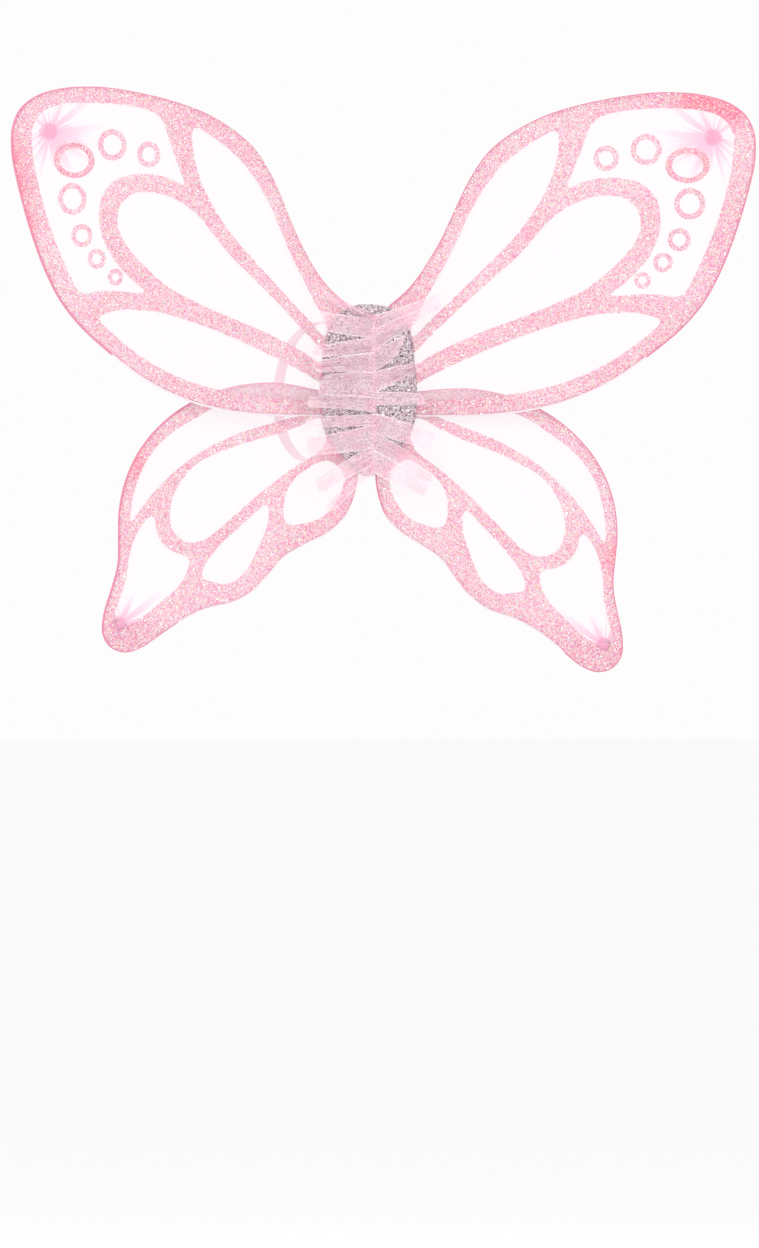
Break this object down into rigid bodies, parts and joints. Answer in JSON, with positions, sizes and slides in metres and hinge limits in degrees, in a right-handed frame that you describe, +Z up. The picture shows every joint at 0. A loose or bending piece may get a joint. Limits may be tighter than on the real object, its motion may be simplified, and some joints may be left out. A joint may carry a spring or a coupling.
{
  "type": "fairy wings",
  "caption": "Child-size butterfly-shaped costume wings: sheer pink nylon lobes on wire hoops with glitter print, folding at a padded glitter panel with a tulle ruffle and elastic arm loops.",
  "frame": {"origin": "centre of the wearer-side face of the felt backing", "axes": "+Y towards the wearer's back, +X along the span to the side, +Z up; the printed and glittered side faces -Y"},
  "size_m": [0.5306, 0.1986, 0.4104],
  "materials": {
    "coated_wire": "smooth pink coating over steel wire",
    "sheer_nylon": "sheer stretch nylon, two layers",
    "gathered_nylon": "sheer nylon gathered dense",
    "glitter_print": "glitter in clear glue",
    "sewing_thread": "polyester thread",
    "felt": "pressed felt",
    "card": "stiff sheet",
    "glue": "set hot-melt glue",
    "foam": "soft foam",
    "silver_glitter_cloth": "silver glitter cloth",
    "tulle": "soft tulle",
    "elastic": "ribbed elastic"
  },
  "bodies": {
    "centre_panel": {"back_glue_layer": "glue", "cover_stitching": "sewing_thread", "felt_backing": "felt", "foam_pad": "foam", "front_glue_layer": "glue", "gathering_thread": "sewing_thread", "glitter_cover": "silver_glitter_cloth", "left_lower_sleeve_root": "sheer_nylon", "left_lower_wire_tails": "coated_wire", "left_strap_ends": "elastic", "left_upper_sleeve_root": "sheer_nylon", "left_upper_wire_tails": "coated_wire", "middle_glue_layer": "glue", "right_lower_sleeve_root": "sheer_nylon", "right_lower_wire_tails": "coated_wire", "right_strap_ends": "elastic", "right_upper_sleeve_root": "sheer_nylon", "right_upper_wire_tails": "coated_wire", "stiffener_card": "card", "strap_tacks": "sewing_thread", "tulle_ruffle": "tulle"},
    "left_upper_wing": {"left_upper_glitter_print": "glitter_print", "left_upper_hoop_wire": "coated_wire", "left_upper_printed_rings": "glitter_print", "left_upper_sleeve": "sheer_nylon", "left_upper_tip_knot": "gathered_nylon", "left_upper_tip_thread": "sewing_thread"},
    "left_lower_wing": {"left_lower_glitter_print": "glitter_print", "left_lower_hoop_wire": "coated_wire", "left_lower_sleeve": "sheer_nylon", "left_lower_tip_knot": "gathered_nylon", "left_lower_tip_thread": "sewing_thread"},
    "right_upper_wing": {"right_upper_glitter_print": "glitter_print", "right_upper_hoop_wire": "coated_wire", "right_upper_printed_rings": "glitter_print", "right_upper_sleeve": "sheer_nylon", "right_upper_tip_knot": "gathered_nylon", "right_upper_tip_thread": "sewing_thread"},
    "right_lower_wing": {"right_lower_glitter_print": "glitter_print", "right_lower_hoop_wire": "coated_wire", "right_lower_sleeve": "sheer_nylon", "right_lower_tip_knot": "gathered_nylon", "right_lower_tip_thread": "sewing_thread"},
    "left_strap": {"left_shoulder_strap": "elastic"},
    "right_strap": {"right_shoulder_strap": "elastic"}
  },
  "joints": [
    {"name": "left_wing_fold", "type": "hinge", "parent": "centre_panel", "child": "left_upper_wing", "pos_m": [-0.0395, -0.0082, 0], "axis": [0, 0, 1], "range_deg": [-25, 70]},
    {"name": "left_lower_wing_fold", "type": "hinge", "parent": "centre_panel", "child": "left_lower_wing", "pos_m": [-0.0395, -0.0082, 0], "axis": [0, 0, 1], "range_deg": [-25, 70]},
    {"name": "left_strap_swing", "type": "hinge", "parent": "centre_panel", "child": "left_strap", "pos_m": [-0.016, 0, 0], "axis": [0, 0, 1], "range_deg": [-18, 40]},
    {"name": "right_wing_fold", "type": "hinge", "parent": "centre_panel", "child": "right_upper_wing", "pos_m": [0.0395, -0.0082, 0], "axis": [0, 0, -1], "range_deg": [-25, 70]},
    {"name": "right_lower_wing_fold", "type": "hinge", "parent": "centre_panel", "child": "right_lower_wing", "pos_m": [0.0395, -0.0082, 0], "axis": [0, 0, -1], "range_deg": [-25, 70]},
    {"name": "right_strap_swing", "type": "hinge", "parent": "centre_panel", "child": "right_strap", "pos_m": [0.016, 0, 0], "axis": [0, 0, -1], "range_deg": [-18, 40]}
  ],
  "couplings": [
    {"joint": "left_lower_wing_fold", "follows": "left_wing_fold", "ratio": 1},
    {"joint": "right_lower_wing_fold", "follows": "right_wing_fold", "ratio": 1}
  ]
}
